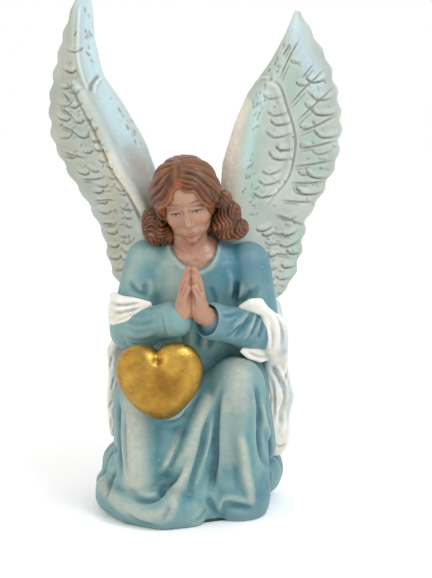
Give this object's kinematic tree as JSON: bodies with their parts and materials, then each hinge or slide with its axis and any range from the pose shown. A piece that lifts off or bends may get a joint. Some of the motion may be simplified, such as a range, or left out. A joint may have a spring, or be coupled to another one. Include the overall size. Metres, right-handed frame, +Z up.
{
  "type": "resin angel figurine",
  "caption": "Half-kneeling angel figurine with raised wings, praying hands, a long robe, a draped shawl and a gold heart on its lap, standing on a flat felted base.",
  "frame": {"origin": "on the surface that the figurine stands on, under the middle of its footprint", "axes": "+Z up, the figure faces -Y, and its left hand is on the +X side"},
  "size_m": [0.1402, 0.0831, 0.243],
  "materials": {
    "robe_paint": "cast resin, satin blue paint with darker folds",
    "skin_paint": "cast resin, satin flesh paint",
    "hair_paint": "cast resin, glossy brown paint",
    "feather_paint": "cast resin, off-white paint with a grey-brown wash in the feather grooves",
    "shawl_paint": "cast resin, cream paint",
    "gold_leaf": "cast resin, rubbed gold leaf",
    "base_felt": "glued felt",
    "dowel_steel": "plain ground steel pin"
  },
  "bodies": {
    "root": {"robe_body": "robe_paint", "right_forearm_sleeve": "robe_paint", "left_forearm_sleeve": "robe_paint", "praying_hands": "skin_paint", "head_and_neck": "skin_paint", "hair_and_curls": "hair_paint", "right_wing": "feather_paint", "left_wing": "feather_paint", "golden_heart": "gold_leaf", "shawl_right_wrap_and_tail": "shawl_paint", "shawl_left_wrap_and_tail": "shawl_paint", "shawl_back_swag": "shawl_paint", "felt_pad": "base_felt", "right_wing_upper_dowel": "dowel_steel", "right_wing_lower_dowel": "dowel_steel", "left_wing_upper_dowel": "dowel_steel", "left_wing_lower_dowel": "dowel_steel", "neck_dowel": "dowel_steel", "right_arm_dowel": "dowel_steel", "left_arm_dowel": "dowel_steel", "heart_dowel": "dowel_steel"}
  },
  "joints": []
}
